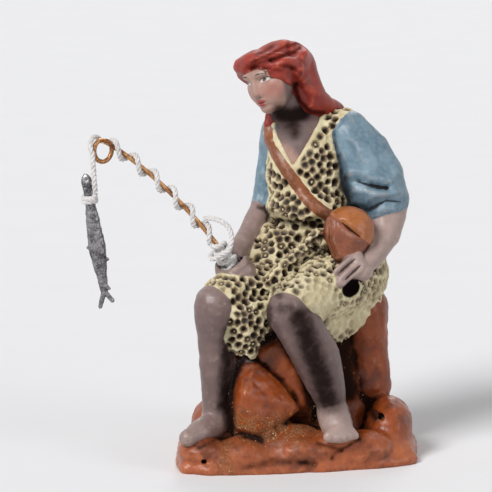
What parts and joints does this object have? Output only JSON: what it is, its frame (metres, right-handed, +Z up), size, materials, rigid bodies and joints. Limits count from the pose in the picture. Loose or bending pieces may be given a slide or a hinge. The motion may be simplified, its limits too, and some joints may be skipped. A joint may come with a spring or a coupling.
{
  "type": "terracotta fisherman figurine",
  "caption": "Painted terracotta figurine of a seated fisherman on a rock, with a bent wire rod, a cotton line wound round it and a small cast fish.",
  "frame": {"origin": "middle of the base's flat underside, on the surface that the figurine stands on", "axes": "+Z up, -Y towards the picture's viewer, +X to the viewer's right"},
  "size_m": [0.0616, 0.0381, 0.0765],
  "materials": {
    "painted_terracotta": "hand-painted fired clay, satin, with dark washes in the hollows",
    "gilt_wire": "coppery brass wire, lightly tarnished",
    "cotton_line": "white twisted cotton",
    "dull_pewter": "dull cast pewter"
  },
  "bodies": {
    "root": {"figurine": "painted_terracotta", "rod": "gilt_wire", "grip_winding": "cotton_line", "line_loop": "cotton_line", "line_spiral": "cotton_line", "line_drop": "cotton_line", "fish_knot": "cotton_line", "fish": "dull_pewter"}
  },
  "joints": []
}
